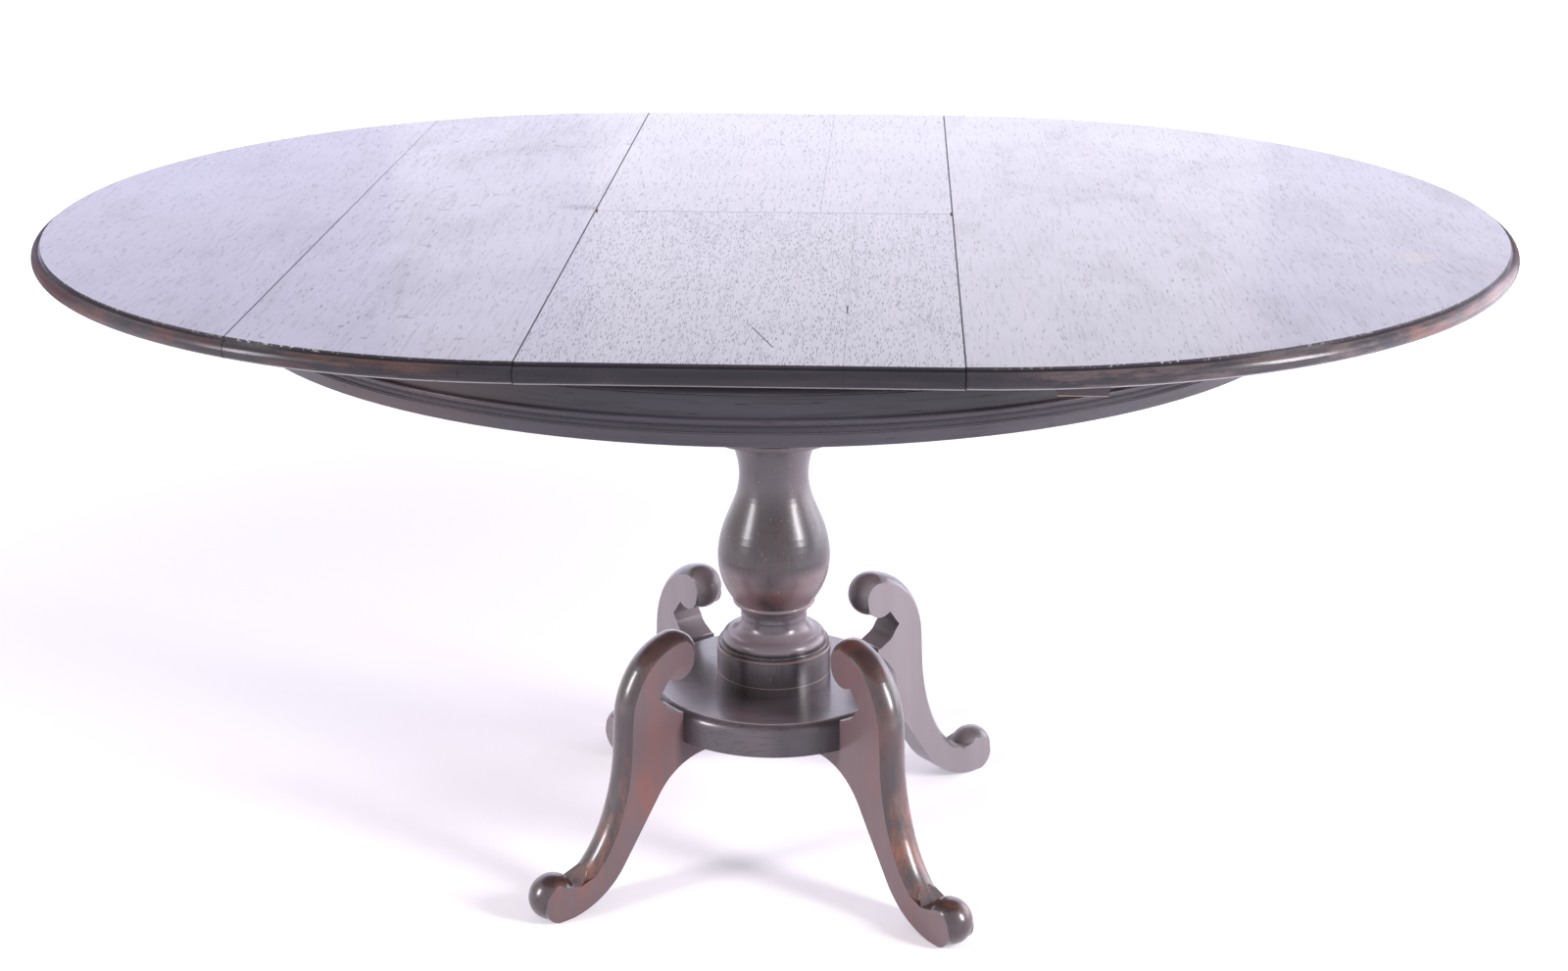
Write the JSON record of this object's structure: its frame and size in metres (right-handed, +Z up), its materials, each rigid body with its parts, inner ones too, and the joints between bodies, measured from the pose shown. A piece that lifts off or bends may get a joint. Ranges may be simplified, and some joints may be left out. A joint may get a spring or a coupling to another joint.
{
  "type": "round extending dining table",
  "caption": "Round mahogany pedestal table, drawn out to an oval round a folding leaf; baluster column on a round platform with scroll legs.",
  "frame": {"origin": "On the floor, on the axis of the turned column, which is the middle of the table drawn out with its leaf in.", "axes": "+X along the line the two half-round ends slide, to the right in the picture; +Y to the back; +Z up."},
  "size_m": [1.5403, 1.1624, 0.744],
  "materials": {
    "top_mahogany": "dark french-polished mahogany, worn to a satin gloss",
    "leaf_mahogany": "dark polished mahogany, open grain across the table",
    "apron_mahogany": "dark polished mahogany, grain bent round the ring",
    "turned_mahogany": "dark polished mahogany, glossy, worn red at the edges",
    "leg_mahogany": "dark polished mahogany, browner on the flat sides",
    "runner_beech": "bare waxed beech, dull",
    "bearer_wood": "stained hardwood, dull",
    "pine": "bare aged pine, dull",
    "brass": "tarnished brass",
    "steel": "dull steel screws"
  },
  "bodies": {
    "base": {"front_rail": "runner_beech", "back_rail": "runner_beech", "rail_stops": "pine", "rail_screws": "steel", "apron_rim": "apron_mahogany", "apron_moulding": "apron_mahogany", "rim_blocks": "pine", "well_floor": "pine", "side_cross_bearer": "bearer_wood", "front_cross_bearer": "bearer_wood", "capital": "turned_mahogany", "capital_screws": "steel", "column": "turned_mahogany", "column_wedge": "pine", "platform": "turned_mahogany", "leg_hub": "turned_mahogany", "front_left_leg": "leg_mahogany", "front_right_leg": "leg_mahogany", "back_left_leg": "leg_mahogany", "back_right_leg": "leg_mahogany", "leg_screws": "steel"},
    "left_top": {"left_inner_board": "top_mahogany", "left_outer_board": "top_mahogany", "left_front_runner": "runner_beech", "left_back_runner": "runner_beech", "left_battens": "runner_beech", "left_front_bearer": "bearer_wood", "left_back_bearer": "bearer_wood", "left_screws": "steel"},
    "right_top": {"right_board": "top_mahogany", "right_front_runner": "runner_beech", "right_back_runner": "runner_beech", "right_battens": "runner_beech", "right_front_bearer": "bearer_wood", "right_back_bearer": "bearer_wood", "right_screws": "steel"},
    "leaf_back": {"leaf_back_wide_board": "leaf_mahogany", "leaf_back_narrow_board": "leaf_mahogany", "leaf_back_hinge_plates": "brass", "leaf_hinge_pins": "brass"},
    "leaf_front": {"leaf_front_wide_board": "leaf_mahogany", "leaf_front_narrow_board": "leaf_mahogany", "leaf_front_hinge_plates": "brass"}
  },
  "joints": [
    {"name": "right_end_draw", "type": "slide", "parent": "base", "child": "right_top", "axis": [1, 0, 0], "range_m": [0, 0.06]},
    {"name": "left_end_draw", "type": "slide", "parent": "base", "child": "left_top", "axis": [-1, 0, 0], "range_m": [0, 0.06]},
    {"name": "leaf_lift", "type": "slide", "parent": "base", "child": "leaf_back", "axis": [0, 0, 1], "range_m": [0, 0.2]},
    {"name": "leaf_fold", "type": "hinge", "parent": "leaf_back", "child": "leaf_front", "pos_m": [0, 0, 0.742], "axis": [-1, 0, 0], "range_deg": [0, 179.5]}
  ]
}
